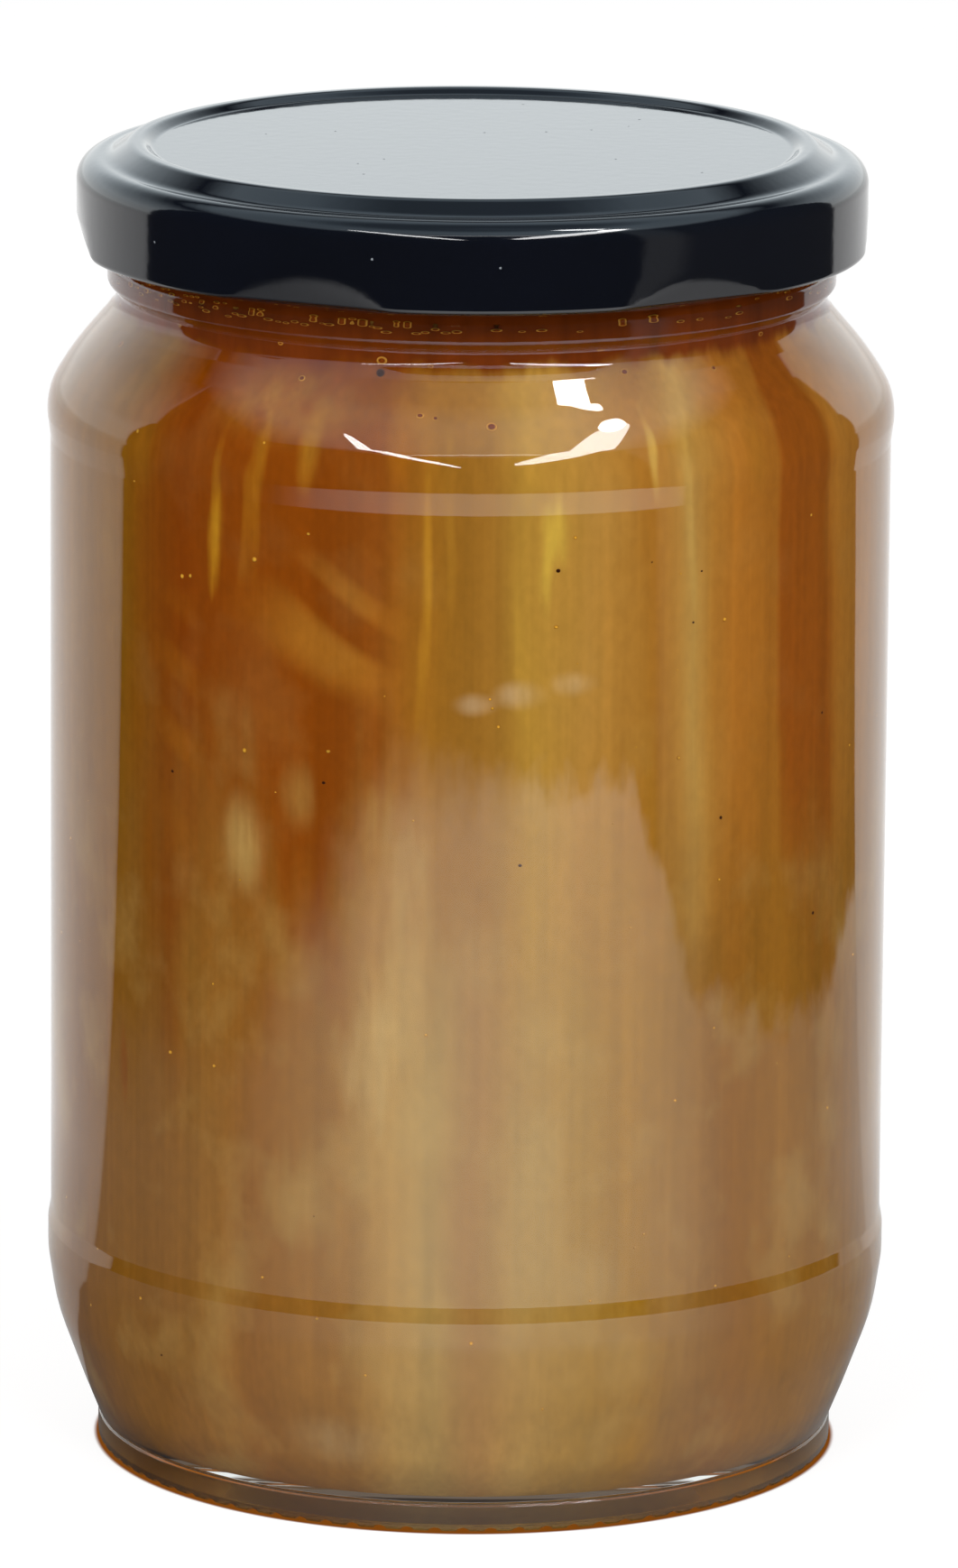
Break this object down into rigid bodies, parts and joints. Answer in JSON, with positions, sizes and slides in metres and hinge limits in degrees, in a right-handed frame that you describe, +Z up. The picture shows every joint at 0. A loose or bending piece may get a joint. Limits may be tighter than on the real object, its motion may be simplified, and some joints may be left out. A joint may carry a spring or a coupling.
{
  "type": "jar of honey",
  "caption": "Tall round glass jar filled with honey, with a straight label wall, rounded shoulder and heel, and a twist-off steel lid screwed shut.",
  "frame": {"origin": "centre of the ring that the jar stands on, at table level", "axes": "+Z up along the jar's axis, -Y towards the side that is seen as the front"},
  "size_m": [0.0907, 0.0906, 0.1425],
  "materials": {
    "glass": "clear moulded soda-lime glass, fire-polished",
    "honey": "amber honey, partly clouded by fine crystals, glossy",
    "lid_lacquer": "black gloss lacquer on tinplate"
  },
  "bodies": {
    "root": {"jar": "glass", "honey": "honey", "lid": "lid_lacquer"}
  },
  "joints": []
}
